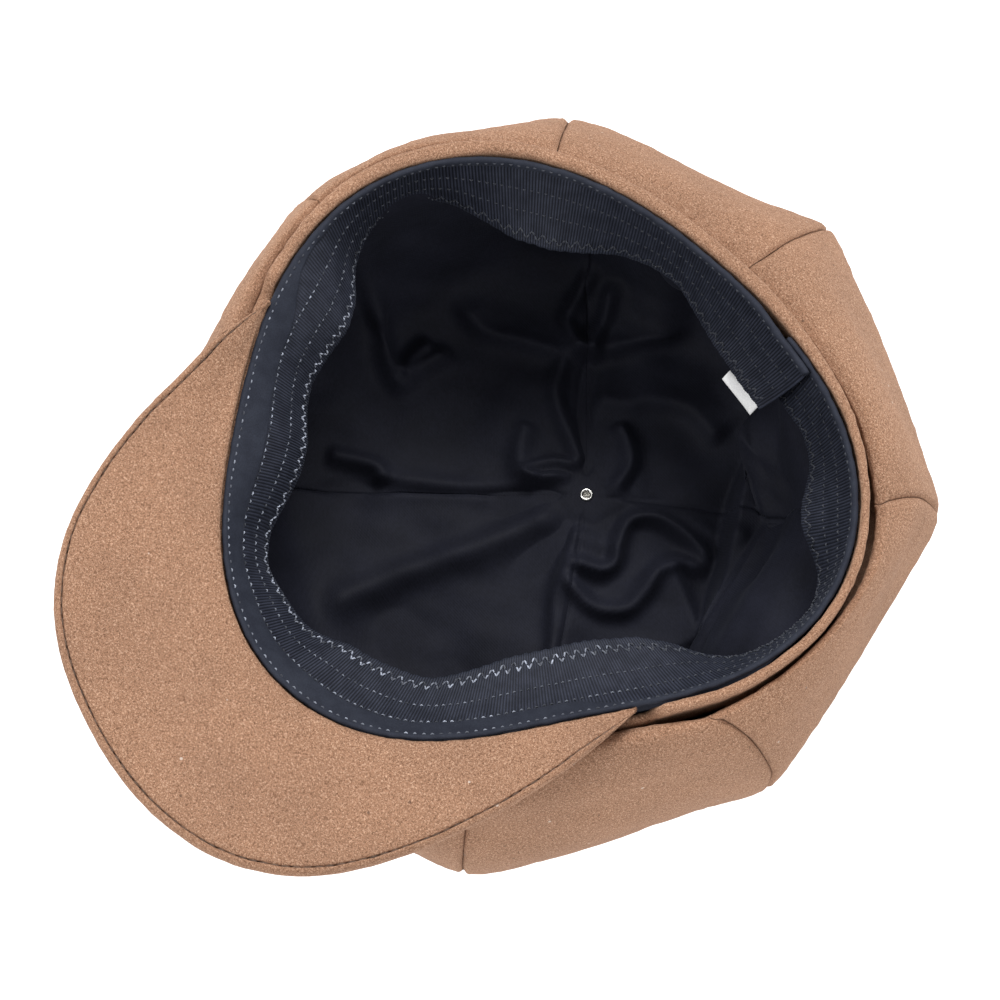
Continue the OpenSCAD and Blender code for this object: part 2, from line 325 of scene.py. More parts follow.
def noise(tree, place, scale, detail=2.0, rough=0.5):
    return node(
        tree,
        "ShaderNodeTexNoise",
        {"Vector": place, "Scale": scale, "Detail": detail, "Roughness": rough},
    ).outputs["Fac"]


def ramp(tree, fac, stops):
    made = node(tree, "ShaderNodeValToRGB", {"Fac": fac})
    made.color_ramp.interpolation = "EASE"
    items = made.color_ramp.elements
    while len(items) < len(stops):
        items.new(0.5)
    for item, (at, colour) in zip(items, stops):
        item.position = at
        item.color = rgb(*colour)
    return made.outputs["Color"]


def greys(tree, fac, low, high, span=(0.3, 0.7)):
    """A ramp from one grey to another."""
    return ramp(tree, fac, [(span[0], (low,) * 3), (span[1], (high,) * 3)])


def blend(tree, fac, a, b, mode="MIX"):
    made = node(tree, "ShaderNodeMix", data_type="RGBA", blend_type=mode)
    for socket, v in ((made.inputs[0], fac), (made.inputs[6], a), (made.inputs[7], b)):
        if isinstance(v, bpy.types.NodeSocket):
            tree.links.new(v, socket)
        else:
            socket.default_value = v
    return made.outputs[2]


def maths(tree, op, a, b=0.0):
    made = node(tree, "ShaderNodeMath", operation=op)
    for socket, v in zip(made.inputs, (a, b)):
        if isinstance(v, bpy.types.NodeSocket):
            tree.links.new(v, socket)
        else:
            socket.default_value = v
    return made.outputs[0]


def bump(tree, height, strength, distance):
    return node(
        tree, "ShaderNodeBump", {"Height": height, "Strength": strength, "Distance": distance}
    ).outputs["Normal"]


def felt_material(name, dark, mid, light):
    mat, tree, shader, place = new_material(
        name,
        {
            "Roughness": 0.92,
            "Specular IOR Level": 0.15,
            "Sheen Weight": 0.10,
            "Sheen Roughness": 0.55,
            "Sheen Tint": rgb(0.95, 0.72, 0.55),
        },
    )
    fine = noise(tree, place, 3400, 3, 0.65)
    heather = noise(tree, place, 1700, 3, 0.6)
    cloud = noise(tree, place, 38, 2, 0.5)
    base = ramp(tree, heather, [(0.3, dark), (0.5, mid), (0.72, light)])
    base = blend(tree, 0.75, base, greys(tree, fine, 0.24, 0.76, (0.25, 0.75)), "OVERLAY")
    patches = ramp(tree, cloud, [(0.3, (0.86, 0.86, 0.87)), (0.7, (1.06, 1.05, 1.04))])
    base = blend(tree, 0.5, base, patches, "MULTIPLY")
    # a few pale and a few dark fibres caught in the nap
    cells = node(tree, "ShaderNodeTexVoronoi", {"Vector": place, "Scale": 190.0}, feature="F1")
    speck = maths(tree, "LESS_THAN", cells.outputs["Distance"], 0.085)
    pick = node(tree, "ShaderNodeSeparateColor", {"Color": cells.outputs["Color"]})
    pale = maths(tree, "MULTIPLY", speck, maths(tree, "GREATER_THAN", pick.outputs[0], 0.88))
    deep = maths(tree, "MULTIPLY", speck, maths(tree, "GREATER_THAN", pick.outputs[1], 0.86))
    base = blend(tree, maths(tree, "MULTIPLY", pale, 0.55), base, rgb(0.75, 0.66, 0.58))
    base = blend(tree, maths(tree, "MULTIPLY", deep, 0.6), base, rgb(0.07, 0.04, 0.03))
    tree.links.new(base, shader.inputs["Base Color"])
    height = maths(tree, "ADD", maths(tree, "MULTIPLY", fine, 0.6), heather)
    tree.links.new(bump(tree, height, 0.5, 0.0006), shader.inputs["Normal"])
    return mat


def cotton_material(name, dark, light):
    mat, tree, shader, place = new_material(
        name,
        {
            "Roughness": 0.72,
            "Specular IOR Level": 0.19,
            "Sheen Weight": 0.04,
            "Sheen Roughness": 0.4,
            "Sheen Tint": rgb(0.6, 0.65, 0.8),
        },
    )
    threads = {"Vector": place, "Scale": 420.0, "Distortion": 0.6, "Detail": 1.0}
    warp, weft = (
        node(
            tree, "ShaderNodeTexWave", threads, wave_type="BANDS", bands_direction=way
        ).outputs["Fac"]
        for way in ("DIAGONAL", "Y")
    )
    weave = maths(tree, "ADD", warp, weft)
    fuzz = noise(tree, place, 900, 2)
    base = ramp(tree, noise(tree, place, 60, 3), [(0.3, dark), (0.7, light)])
    base = blend(tree, 0.35, base, greys(tree, fuzz, 0.7, 1.25), "MULTIPLY")
    # a few bits of pale lint
    cells = node(tree, "ShaderNodeTexVoronoi", {"Vector": place, "Scale": 55.0}, feature="F1")
    pick = node(tree, "ShaderNodeSeparateColor", {"Color": cells.outputs["Color"]})
    speck = maths(tree, "LESS_THAN", cells.outputs["Distance"], 0.022)
    lint = maths(tree, "MULTIPLY", speck, maths(tree, "GREATER_THAN", pick.outputs[0], 0.80))
    base = blend(tree, lint, base, rgb(0.32, 0.32, 0.36))
    tree.links.new(base, shader.inputs["Base Color"])
    height = maths(tree, "ADD", weave, fuzz)
    tree.links.new(bump(tree, height, 0.12, 0.0003), shader.inputs["Normal"])
    return mat


def ribbon_material(name, dark, light, rough):
    mat, tree, shader, place = new_material(
        name,
        {
            "Roughness": rough,
            "Specular IOR Level": 0.22,
            "Sheen Weight": 0.05,
            "Sheen Roughness": 0.35,
            "Sheen Tint": rgb(0.7, 0.75, 0.9),
        },
    )
    fine = noise(tree, place, 2600, 2, 0.6)
    tone = node(tree, "ShaderNodeAttribute", attribute_name="tone").outputs["Fac"]
    base = ramp(tree, noise(tree, place, 240, 3), [(0.3, dark), (0.7, light)])
    # the tone attribute scales the colour; on the ribbon it darkens each rib's trough and lightens
    # its crest, a painted shade and highlight
    base = blend(tree, 1.0, base, greys(tree, tone, 0.35, 1.55, (0.1, 0.9)), "MULTIPLY")
    base = blend(tree, 0.5, base, greys(tree, fine, 0.65, 1.35), "MULTIPLY")
    tree.links.new(base, shader.inputs["Base Color"])
    tree.links.new(bump(tree, fine, 0.35, 0.0002), shader.inputs["Normal"])
    return mat


def thread_material(name, dark, light):
    mat, tree, shader, place = new_material(
        name, {"Roughness": 0.55, "Specular IOR Level": 0.5, "Sheen Weight": 0.2}
    )
    tone = node(tree, "ShaderNodeAttribute", attribute_name="tone").outputs["Fac"]
    # the tone attribute moves the colour from dark to light: a painted glint on the ribbon's
    # stitches, a random tone on the brim's
    base = ramp(tree, tone, [(0.0, dark), (1.0, light)])
    twist = noise(tree, place, 3500, 2)
    base = blend(tree, 0.4, base, greys(tree, twist, 0.6, 1.3), "MULTIPLY")
    tree.links.new(base, shader.inputs["Base Color"])
    tree.links.new(bump(tree, twist, 0.4, 0.0002), shader.inputs["Normal"])
    return mat


def plain_material(name, dark, light, scale, rough, metal=0.0):
    mat, tree, shader, place = new_material(name, {"Metallic": metal, "Roughness": rough})
    grain = noise(tree, place, scale, 4)
    tree.links.new(ramp(tree, grain, [(0.3, dark), (0.7, light)]), shader.inputs["Base Color"])
    tree.links.new(bump(tree, grain, 0.3, 0.0001), shader.inputs["Normal"])
    return mat


FELT_MAT = felt_material(
    "wool_felt", (0.202, 0.103, 0.061), (0.335, 0.185, 0.114), (0.495, 0.310, 0.210)
)
COTTON_MAT = cotton_material("lining_cotton", (0.0098, 0.0106, 0.0178), (0.0134, 0.0145, 0.0243))
RIBBON_MAT = ribbon_material("grosgrain", (0.0155, 0.0180, 0.0285), (0.0245, 0.0280, 0.0425), 0.6)
BINDING_MAT = ribbon_material("binding_tape", (0.018, 0.021, 0.033), (0.024, 0.028, 0.042), 0.75)
# the thread's light colour is where a painted glint lands; its dark colour is the thread's own
THREAD_MAT = thread_material("thread", (0.024, 0.028, 0.042), (0.44, 0.48, 0.58))
BROWN_THREAD_MAT = thread_material("brown_thread", (0.09, 0.05, 0.03), (0.16, 0.09, 0.055))
LABEL_MAT = plain_material("label_satin", (0.80, 0.80, 0.81), (0.92, 0.92, 0.92), 2400, 0.4)
STEEL_MAT = plain_material("bright_steel", (0.62, 0.61, 0.58), (0.78, 0.77, 0.74), 1800, 0.25, 1.0)
BOARD_MAT = plain_material("brim_board", (0.30, 0.29, 0.27), (0.38, 0.37, 0.35), 700, 0.8)
WEBBING_MAT = plain_material("webbing", (0.62, 0.61, 0.58), (0.74, 0.73, 0.70), 1500, 0.85)


# ---- The rim ----
def rim_radius(a):
    """The rim is a rounded triangle, broad at the front and at both back corners."""
    r = np.radians(a)
    return (
        90.5
        + 2.3 * np.sin(2 * r + 0.30)
        + 7.4 * np.sin(3 * r - 0.23)
        + 1.2 * np.sin(4 * r + 0.84)
    )


def rim_point(a, offset, z):
    return polar(RIM_CENTRE, rim_radius(a) + offset, a, z)


def in_brim(a):
    """1 where the brim is sewn on, 0 elsewhere."""
    return ease((BRIM_SPAN + 5 - np.abs(wrap(np.asarray(a) + 90))) / 5)


# ---- The crown: eight felt gores ----
# Each gore's outer edge runs almost straight between its two seams:
# the radius at each seam, then how much it bulges and leans in between.
SEAM_REACH = [120.4, 129.5, 129.3, 123.3, 119.4, 117.5, 122.2, 122.9]
BULGE = [
    (1.1, 0.3), (1.8, -0.1), (-0.5, -1.4), (4.3, 0.1),
    (1.6, -1.2), (5.1, 0.5), (3.9, 1.2), (1.0, 1.6),
]


def gore_edge(i, u):
    """Angle and radius along the outer edge of gore i, u from 0 to 1 between its seams."""
    reach = np.array([SEAM_REACH[i], SEAM_REACH[(i + 1) % 8]])
    ends = polar(np.zeros(2), reach, np.array(SEAMS[i : i + 2]), 0)[:, :2]
    span = ends[1] - ends[0]
    normal = np.array([span[1], -span[0]]) / np.linalg.norm(span)
    a = SEAMS[i] + (SEAMS[i + 1] - SEAMS[i]) * u
    across = np.cos(np.radians(a)) * normal[0] + np.sin(np.radians(a)) * normal[1]
    bulge, lean = BULGE[i]
    straight = ends[0] @ normal / across
    return a, straight + bulge * np.sin(np.pi * u) + lean * np.sin(2 * np.pi * u)


PLACES = np.linspace(0, 1, 16, endpoint=False)
OUTLINE = smooth_ring([key for i in range(8) for key in zip(*gore_edge(i, PLACES))], 1.0)
# How high the crown's shoulder stands by the band
SHOULDER = smooth_ring(
    [
        (-95, 86), (-60, 92), (-30, 95.5), (0, 96.5), (40, 96.5), (62, 95), (85, 90),
        (110, 86), (140, 88), (160, 92), (200, 93), (225, 89), (245, 86),
    ],
    6,
)
# How far the band's outer face lies outside the rim
BAND_OUT = smooth_ring(
    [
        (-90, 5.6), (-60, 5.4), (-35, 4.6), (-22, 4.2), (-8, 3.9), (8, 3.6), (30, 3.5),
        (50, 3.6), (60, 4.0), (71, 4.8), (84, 5.4), (100, 5.2), (130, 5.2), (148, 5.4),
        (165, 5.4), (187, 4.6), (200, 5.0), (230, 5.6),
    ],
    4,
)
# How far the crease between the band and the crown gapes
CREASE = smooth_ring(
    [
        (-90, 0.3), (-50, 0.4), (-30, 0.5), (-22, 0.8), (-12, 1.4), (-7, 1.9), (-3, 1.2),
        (3, 0.2), (16, 0.2), (22, 0.6), (27, 1.3), (31, 1.6), (35, 1.3), (42, 0.8),
        (50, 1.0), (55, 0.9), (60, 0.5), (66, 0.2), (100, 0.2), (135, 0.1), (150, 0.2),
        (170, 0.4), (200, 0.4), (220, 0.4),
    ],
    1.4,
)
# How far the seams swing round as they climb to the band
TWIST = smooth_ring(
    [
        (-28, -5), (-3, -6.5), (20, -6.5), (44, -6), (66, -3), (90, 0), (110, 0.5),
        (133, 1.5), (156, 0.5), (179, 0), (222, 0), (268, 0), (309, 0),
    ],
    5,
)
WIDEST_Z = 42.0  # the height of the crown's widest line, and where its upper half starts
UPPER_Z = 58.0


def crown_keys(base):
    """The points that each gore's section curve passes, from the button to behind the band."""
    out = OUTLINE(base)
    a = base + TWIST(base)
    band = np.linalg.norm(rim_point(a, BAND_OUT(a), 0)[..., :2] - CROWN_CENTRE, axis=-1)
    # the rim is not centred on the crown: find its radius along this ray
    for _ in range(3):
        ray = np.stack([np.cos(np.radians(a)), np.sin(np.radians(a))], -1)
        rel = CROWN_CENTRE + ray * band[..., None] - RIM_CENTRE
        ang = np.degrees(np.arctan2(rel[..., 1], rel[..., 0]))
        band = band + (rim_radius(ang) + BAND_OUT(ang) - np.linalg.norm(rel, axis=-1))
    top = SHOULDER(a)
    crest = 1.9 + CREASE(ang)
    gap = np.maximum(out - 2.5 - band, crest + 1.9) - crest
    # (how far the centre has moved from the button, share of the outline's radius, height)
    lower = [
        (0, 0.02, 4.8), (0.02, 0.1, 4.5), (0.1, 0.2, 2.2), (0.25, 0.33, 0.5), (0.4, 0.46, 0.05),
        (0.6, 0.6, 0.05), (0.85, 0.78, 1.2), (1, 0.91, 8), (1, 0.985, 22), (1, 1, WIDEST_Z),
        (1, 0.985, UPPER_Z),
    ]
    keys = [polar(CROWN_CENTRE * moved, out * share, base, z) for moved, share, z in lower]
    # over the shoulder to a crest beside the band, and down behind it
    for share, add, z in (
        (0.68, 0.0, UPPER_Z + 0.56 * (top - UPPER_Z)),
        (0.42, 0.0, UPPER_Z + 0.84 * (top - UPPER_Z)),
        (0.15, 0.0, top - 0.3),
        (0.0, 0.0, top - 0.15),
        (0.0, -1.0, top - 1.2),
        (0.0, -1.0, top - 3.2),
        (0.0, 0.2 * crest - 0.2, top - 9.0),
        (0.0, 0.4 - crest, BAND_FOOT + 0.5),
    ):
        at = base + TWIST(base) * (1 - share) ** 1.3
        keys.append(polar(CROWN_CENTRE, band + crest + share * gap + add, at, z + 0 * a))
    return np.stack(keys, -2)


def crown_front(from_a, to_a, rows, columns):
    """The outer face of one gore, its rows closer together towards its two seams."""
    t = np.linspace(0, 1, rows)
    u = 0.22 * t + 0.78 * (1 - np.cos(np.pi * t)) / 2
    a = from_a + (to_a - from_a) * u
    s = np.linspace(0.0, 1.0, columns)
    p = catmull(crown_keys(a), s)
    inward = -grid_normals(p, False)
    # the cloth dips into each seam, and less so once it is over the shoulder
    radius = np.linalg.norm(p[..., :2] - CROWN_CENTRE, axis=-1)
    arc = np.minimum(u, 1 - u)[:, None] * np.radians(to_a - from_a) * radius
    up = ease((p[..., 2] - 3) / 14)
    valley = 1.2 * np.exp(-((arc / 0.9) ** 2)) + 0.7 * np.exp(-((arc / 4.5) ** 2))
    fade = (1 - 0.75 * ease((s - 0.70) / 0.06)) * (1 - ease((s - 0.80) / 0.04))
    valley = valley * (0.35 + 0.65 * up) * fade[None, :]
    valley[:, :3] *= 0.3
    # slow waves, which die away at the widest line so that the outline stays clean
    broad = waves(p * [1, 1, 1.4], 75, 3) * 0.65 + waves(p, 26, 5) * 0.25
    broad = broad * (1 - 0.75 * np.exp(-(((p[..., 2] - 44) / 16) ** 2)))
    fuzz = waves(p, 5.0, 9) * 0.10 + rng.normal(size=arc.shape) * 0.035
    edge = ease(np.minimum(s, 1 - s)[None, :] / 0.05)
    p = p + inward * (valley + (broad * up * 0.9) * edge)[..., None]
    p = p - inward * (fuzz * edge)[..., None]
    # neighbouring gores keep a hair's breadth apart
    side = np.stack([-np.sin(np.radians(a)), np.cos(np.radians(a)), 0 * a], -1)[:, None, :]
    hug = 0.1 * (np.exp(-u / 0.02) - np.exp(-(1 - u) / 0.02))[:, None, None]
    p = p + side * hug
    p[..., 2] = np.maximum(p[..., 2], 0.0)
    return p


for i in range(8):
    front = crown_front(SEAMS[i], SEAMS[i + 1], 52, 104)
    piece = cloth_piece(
        f"crown_gore_{i + 1}", front, FELT, "cap", [f"crown_panel_{i + 1}"],
        FELT_MAT, bulge=0.01, soft=9,
    )


# ---- The band ----
def brim_drop(a):
    """How far the band's fold sits lower where the brim lies over it."""
    return in_brim(a) * (BRIM_STACK + 0.3)


def band_point(a, off, z):
    """off is 0 on the band's inner face and 1 on its outer face."""
    return rim_point(a, BAND_IN + (BAND_OUT(a) - BAND_IN) * off, z)


def band_sweep(profile, steps, seed, wander):
    a = np.linspace(0, 360, steps, endpoint=False)
    drop = brim_drop(a)
    p = np.stack([band_point(a, off, z - drop * share) for off, z, share in profile], 1)
    out = unit(np.concatenate([p[..., :2] - RIM_CENTRE, 0 * p[..., :1]], -1))
    shift = waves(p, 55, seed, 2) * wander
    climb = [0, 0, 0.6] * waves(p, 70, seed + 1, 2)[..., None] * wander
    return p + out * shift[..., None] + climb


def fold_profile(top, low_out, low_in, arc=9, steps=7):
    """Up one face, over a round fold and down the other.

    Each entry is the share outwards, z, and how far it follows the brim's drop.
    """
    r = 2.0
    pts = [(1.0, low_out + (top - r - low_out) * k, k) for k in np.linspace(0, 1, steps)]
    for k in range(1, arc):
        b = np.pi * k / arc
        pts.append((0.5 + 0.5 * np.cos(b), top - r + r * np.sin(b) ** 0.8, 1.0))
    down = np.linspace(0, 1, steps)
    return pts + [(0.0, top - r + (low_in - top + r) * k, 1.0 - k * 0.5) for k in down]


front = band_sweep(fold_profile(RIM_Z, BAND_FOOT, BAND_FOOT + 4), 480, 31, 0.25)
nap = waves(front, 5, 12) * 0.10 + rng.normal(size=front.shape[:2]) * 0.03
front = front + nap[..., None] * grid_normals(front, True)
band = cloth_piece(
    "outer_band_fold", front, 1.15, "cap", ["outer_band"], FELT_MAT, closed=True
)

a = np.linspace(0, 360, 240, endpoint=False)
web_foot, web_top = BAND_FOOT + 1, RIM_Z - 4 - brim_drop(a)
web = np.stack(
    [band_point(a, 0.5, web_foot * (1 - k) + web_top * k) for k in np.linspace(0, 1, 6)], 1
)
cloth_piece(
    "band_webbing", web, 0.3, "cap", ["band_stiffener"], WEBBING_MAT, closed=True
)


# ---- The sweatband ----
# How far the ribbon's free edge hangs in from its rim edge
LEAN = smooth_ring(
    [
        (-178, 18), (-171, 21.5), (-163, 18.5), (-155, 15.5), (-148, 16), (-138, 19),
        (-130, 18.5), (-123, 15), (-118, 11), (-111, 10), (-103, 14), (-94, 17), (-84, 23),
        (-73, 23), (-64, 21.5), (-55, 23), (-46, 24), (-33, 23.5), (-20, 24), (-8, 23.5),
        (-1, 20), (3, 14), (8, 8.5), (16, 5), (24, 2.5), (30, 4.5), (35, 10), (38, 13),
        (43, 12.6), (52, 6.5), (59, 5), (64, 6), (67, 11), (75, 12), (84, 11), (93, 7),
        (101, 3), (108, 3.5), (116, 6.5), (124, 13), (132, 17.5), (141, 16.5), (148, 8.5),
        (153, 2), (158, -1), (163, -1), (169, 1), (176, 8),
    ],
    1.3,
)
TAPE = 0.35  # thickness of the binding tape
TAPE_OUT = RIBBON / 2 + 0.15 + TAPE  # from the ribbon's middle to the tape's face
OVERLAP_STEP = 2.1  # how far the upper end stands off the lower one


def lift_over(a):
    """The ribbon stands off where it starts, over its own other end."""
    return OVERLAP_STEP * (1 - ease((a - OVERLAP_FROM - 6) / 14))


def lean_at(a):
    """The upper end lies over the lower one, and leans in further."""
    lean = LEAN(a)
    lean = lean + (12.6 - lean) * (1 - ease((a - OVERLAP_FROM - 5) / 8))
    return lean + (6.0 - lean) * ease((a - OVERLAP_FROM - 353) / 6)


# How the ribbon hangs between its edges: above 0 it lies flat first, then drops
BELLY = smooth_ring(
    [
        (-178, 0.2), (-160, 0.45), (-127, 0.6), (-102, 0.25), (-80, -0.2), (-50, -0.5),
        (-15, -0.5), (20, -0.3), (90, -0.3), (150, -0.1),
    ],
    8,
)
# The smooth strip of binding tape is broad along the wearer's left and the front
TAPE_W = smooth_ring(
    [(-172, 2.6), (-163, 9.0), (-30, 9.0), (-20, 2.2), (60, 2.0), (120, 2.0)], 2.5
)


def on_ribbon(a, down, out):
    """A point on the ribbon: down from its top edge, out from its middle towards the head."""
    a, down, out = np.broadcast_arrays(np.asarray(a, float), down, out)
    lean = lean_at(a)
    drop = np.sqrt(RIBBON_W**2 - lean**2)
    t = down / RIBBON_W
    b = BELLY(a)
    c = -0.5 * b
    ti = lean * (1 + b - 2 * b * t)
    td = drop * (1 + c - 2 * c * t)
    size = np.hypot(ti, td)
    n = out + lift_over(a)
    inward = lean * t * (1 + b - b * t) + td / size * n
    z = RIBBON_TOP - drop * t * (1 + c - c * t) + ti / size * n
    return rim_point(a, -RIBBON_IN - inward, z)


def arc_table():
    """Angles, and the ribbon's length up to each of them."""
    a = OVERLAP_FROM + np.linspace(0, 360 + OVERLAP, 6000)
    p = rim_point(a, -RIBBON_IN, RIBBON_TOP)
    length = np.concatenate([[0], np.cumsum(np.linalg.norm(np.diff(p, axis=0), axis=1))])
    return a, length


ARC_A, ARC_S = arc_table()
RIBBON_LENGTH = ARC_S[-1]


def angle_at(s):
    return np.interp(s, ARC_S, ARC_A)


RIB_PITCH = 1.0
RIB_HEIGHT = 0.145
PICOT_PITCH = 4.2  # of the small scallops along the free edge
steps = int(RIBBON_LENGTH / RIB_PITCH * 4) + 1
s = np.linspace(0, RIBBON_LENGTH, steps)
downs = np.array([0, 1.5, 3.2, 5, 7, 9.2, 10.2, 12, 15, 18, 21, 23.5, 26, 27.3, RIBBON_W])
A, D = angle_at(s)[:, None], downs[None, :]
at_edge = D > RIBBON_W - 0.5
strength = RIB_HEIGHT * ease((D - TAPE_W(A)) / 0.8) * (1 - 0.3 * at_edge)
picot = 0.14 * np.cos(2 * np.pi * s / PICOT_PITCH)[:, None] * at_edge
wobble = 1 + 0.25 * np.sin(s / 17.0 + 1.3 * np.sin(s / 41.0))[:, None]
rib = strength * np.cos(2 * np.pi * s / RIB_PITCH)[:, None] * wobble
front = on_ribbon(A, D + picot, RIBBON / 2 + rib)
# the tone follows the ribs: painted shade in each trough, painted highlight on each crest
ribbon = cloth_piece(
    "sweatband_ribbon", front, RIBBON, "cap", ["sweatband"], RIBBON_MAT,
    tone=0.5 + 2.6 * rib,
)

# the binding tape: a strip folded over the ribbon's top edge, as (down, out) points
s = np.linspace(0, RIBBON_LENGTH, 900)
A = angle_at(s)
wide = TAPE_W(A)
section = [
    (2.5, -TAPE_OUT), (0.6, -TAPE_OUT), (-0.15, -TAPE_OUT * 0.75), (-0.4, 0.0),
    (-0.15, TAPE_OUT * 0.75), (0.5, TAPE_OUT), (0.34 * wide, TAPE_OUT + 0.05),
    (0.66 * wide, TAPE_OUT), (wide - 0.5, TAPE_OUT), (wide, TAPE_OUT - 0.15),
]
front = np.stack([on_ribbon(A, d, o) for d, o in section], 1)
front = front + grid_normals(front, False) * (waves(front, 7, 41, 2) * 0.10)[..., None]
tape = cloth_piece(
    "rim_tape", front, TAPE, "cap", ["rim_binding"], BINDING_MAT,
    tone=0.5 + 0 * front[..., 0], bulge=0.05,
)


# ---- Stitches ----
def stitches(name, start, end, up, radius, rise, tone, body, replaces, material):
    """One short arched thread from each start to its end, lying on a surface that faces up."""
    rings, sides = 6, 6
    t = np.linspace(0, 1, rings)
    lift = np.sin(np.pi * t)
    thick = radius * (0.45 + 0.55 * lift**0.5)
    along = end - start
    size = np.linalg.norm(along, axis=1, keepdims=True)
    tangent = along / size
    side = unit(np.cross(up, tangent))
    normal = np.cross(tangent, side)
    phi = np.linspace(0, 2 * np.pi, sides, endpoint=False)
    centre = start[:, None, :] + along[:, None, :] * t[None, :, None]
    centre = centre + normal[:, None, :] * (rise * lift - radius * 0.6 * (1 - lift))[None, :, None]
    ring = (
        side[:, None, None, :] * np.cos(phi)[None, None, :, None]
        + normal[:, None, None, :] * np.sin(phi)[None, None, :, None]
    ) * thick[None, :, None, None]
    verts = centre[:, :, None, :] + ring
    end = np.array([[0, 1, 2, 3], [0, 3, 4, 5]])
    one = np.concatenate(
        [tube_faces(rings, sides, False), end[:, ::-1], end + (rings - 1) * sides]
    )
    faces = one[None] + (np.arange(len(start)) * rings * sides)[:, None, None]
    tones = np.repeat(tone, rings * sides)
    return make_mesh(name, verts, faces, body, replaces, material, tone=tones)


# Painted glint: the threads are coloured pale along the wearer's left and the front, where they
# catch the light, and dull elsewhere
GLINT = smooth_ring(
    [
        (-175, 0.45), (-160, 0.7), (-90, 0.75), (-50, 0.7), (-25, 0.40), (0, 0.12),
        (40, 0.05), (120, 0.03), (160, 0.10),
    ],
    8,
)
STITCH_RISE = 0.18
ON_RIBBON = RIBBON / 2 + 0.12  # where a thread lies, from the ribbon's middle


def ribbon_row(name, node_name, down, out, pitch, length, radius, bright, seed):
    """A row of straight stitches round the ribbon, that far down from its top edge."""
    r = np.random.default_rng(seed)
    count = int((RIBBON_LENGTH - 4) / pitch)
    mid = 2 + pitch * (np.arange(count) + 0.5) + r.normal(size=count) * 0.07
    half = length / 2 * (1 + r.normal(size=count) * 0.06)
    d = down + 0.15 * np.sin(mid / 9) + r.normal(size=count) * 0.05
    p, q = on_ribbon(angle_at(mid - half), d, out), on_ribbon(angle_at(mid + half), d, out)
    up = unit(on_ribbon(angle_at(mid), d, out + 1) - on_ribbon(angle_at(mid), d, out))
    # the painted glint, spread at random from stitch to stitch
    tone = np.clip(GLINT(angle_at(mid)) * bright * (1 + r.normal(size=count) * 0.5), 0.02, 1)
    stitches(name, p, q, up, radius, STITCH_RISE, tone, "cap", [node_name], THREAD_MAT)


# (piece, node, down, out, pitch, length, radius, strength of the painted glint, seed)
for row in (
    ("rim_stitches", "rim_stitch", 1.05, TAPE_OUT, 2.55, 1.15, 0.24, 0.48, 51),
    ("ribbon_stitches_upper", "sweatband_stitch_upper", 0.34 * RIBBON_W + 0.1, ON_RIBBON, 2.4,
     1.1, 0.24, 0.68, 52),
    ("ribbon_stitches_lower", "sweatband_stitch_lower", 0.62 * RIBBON_W, ON_RIBBON, 2.4,
     1.05, 0.23, 0.5, 53),
):
    ribbon_row(*row)

# the zigzag along the free edge: two threads across, then two back
r = np.random.default_rng(54)
step = 1.06
count = int((RIBBON_LENGTH - 4) / step)
at = 2 + step * np.arange(count + 1)
swing = np.array([0, 0.5, 1, 0.5])[np.arange(count + 1) % 4] + r.normal(size=count + 1) * 0.06
down = 0.9 * RIBBON_W - 1.5 + 2.7 * swing
p = on_ribbon(angle_at(at), down, RIBBON / 2 + 0.15)
up = unit(on_ribbon(angle_at(at), down, 1.4) - on_ribbon(angle_at(at), down, 0.4))
inset = (p[1:] - p[:-1]) * 0.12
# the zigzag's threads carry the same painted glint
tone = np.clip(GLINT(angle_at(at[:-1])) * 0.7 * (1 + r.normal(size=count) * 0.6), 0.02, 1)
stitches(
    "zigzag_stitches", p[:-1] + inset, p[1:] - inset, up[:-1], 0.27, 0.2, tone, "cap",
    ["zigzag_stitch"], THREAD_MAT,
)


# ---- The lining: four cotton panels ----
LINING_TOP = RIM_Z - 8


def along_ray(a, centre, reach):
    """The distance from the button, in direction a, to the ring of that reach about a centre."""
    ray = np.stack([np.cos(np.radians(a)), np.sin(np.radians(a))], -1)
    r = np.full(np.shape(a), 60.0)
    for _ in range(7):
        rel = ray * r[..., None] - centre
        ang = np.degrees(np.arctan2(rel[..., 1], rel[..., 0]))
        r = r + reach(ang) - np.linalg.norm(rel, axis=-1)
    return r


def lining_keys(a):
    """The points that each section curve of the lining passes, from the button to the rim."""
    rows = []
    # (how far the centre has moved from the button, share of the outline's radius, height)
    for moved, share, z in (
        (0, 0.018, 9.0), (0.02, 0.06, 8.7), (0.08, 0.13, 7.9), (0.2, 0.24, 6.6),
        (0.4, 0.38, 5.4), (0.65, 0.50, 5.0), (0.85, 0.60, 6.0), (1, 0.685, 10.5),
        (1, 0.745, 20.0), (1, 0.775, 34.0),
    ):
        rows.append((along_ray(a, CROWN_CENTRE * moved, lambda g: share * OUTLINE(g)), z))
    rim = along_ray(a, RIM_CENTRE, rim_radius)
    rows += [(0.5 * (rows[-1][0] + rim - 1), 52.0), (rim - 2.0, 70.0), (rim + 0.1, 82.0)]
    rows += [(rim + 0.2, LINING_TOP)]
    return np.stack([polar((0, 0), r, a, z + 0 * a) for r, z in rows], -2)


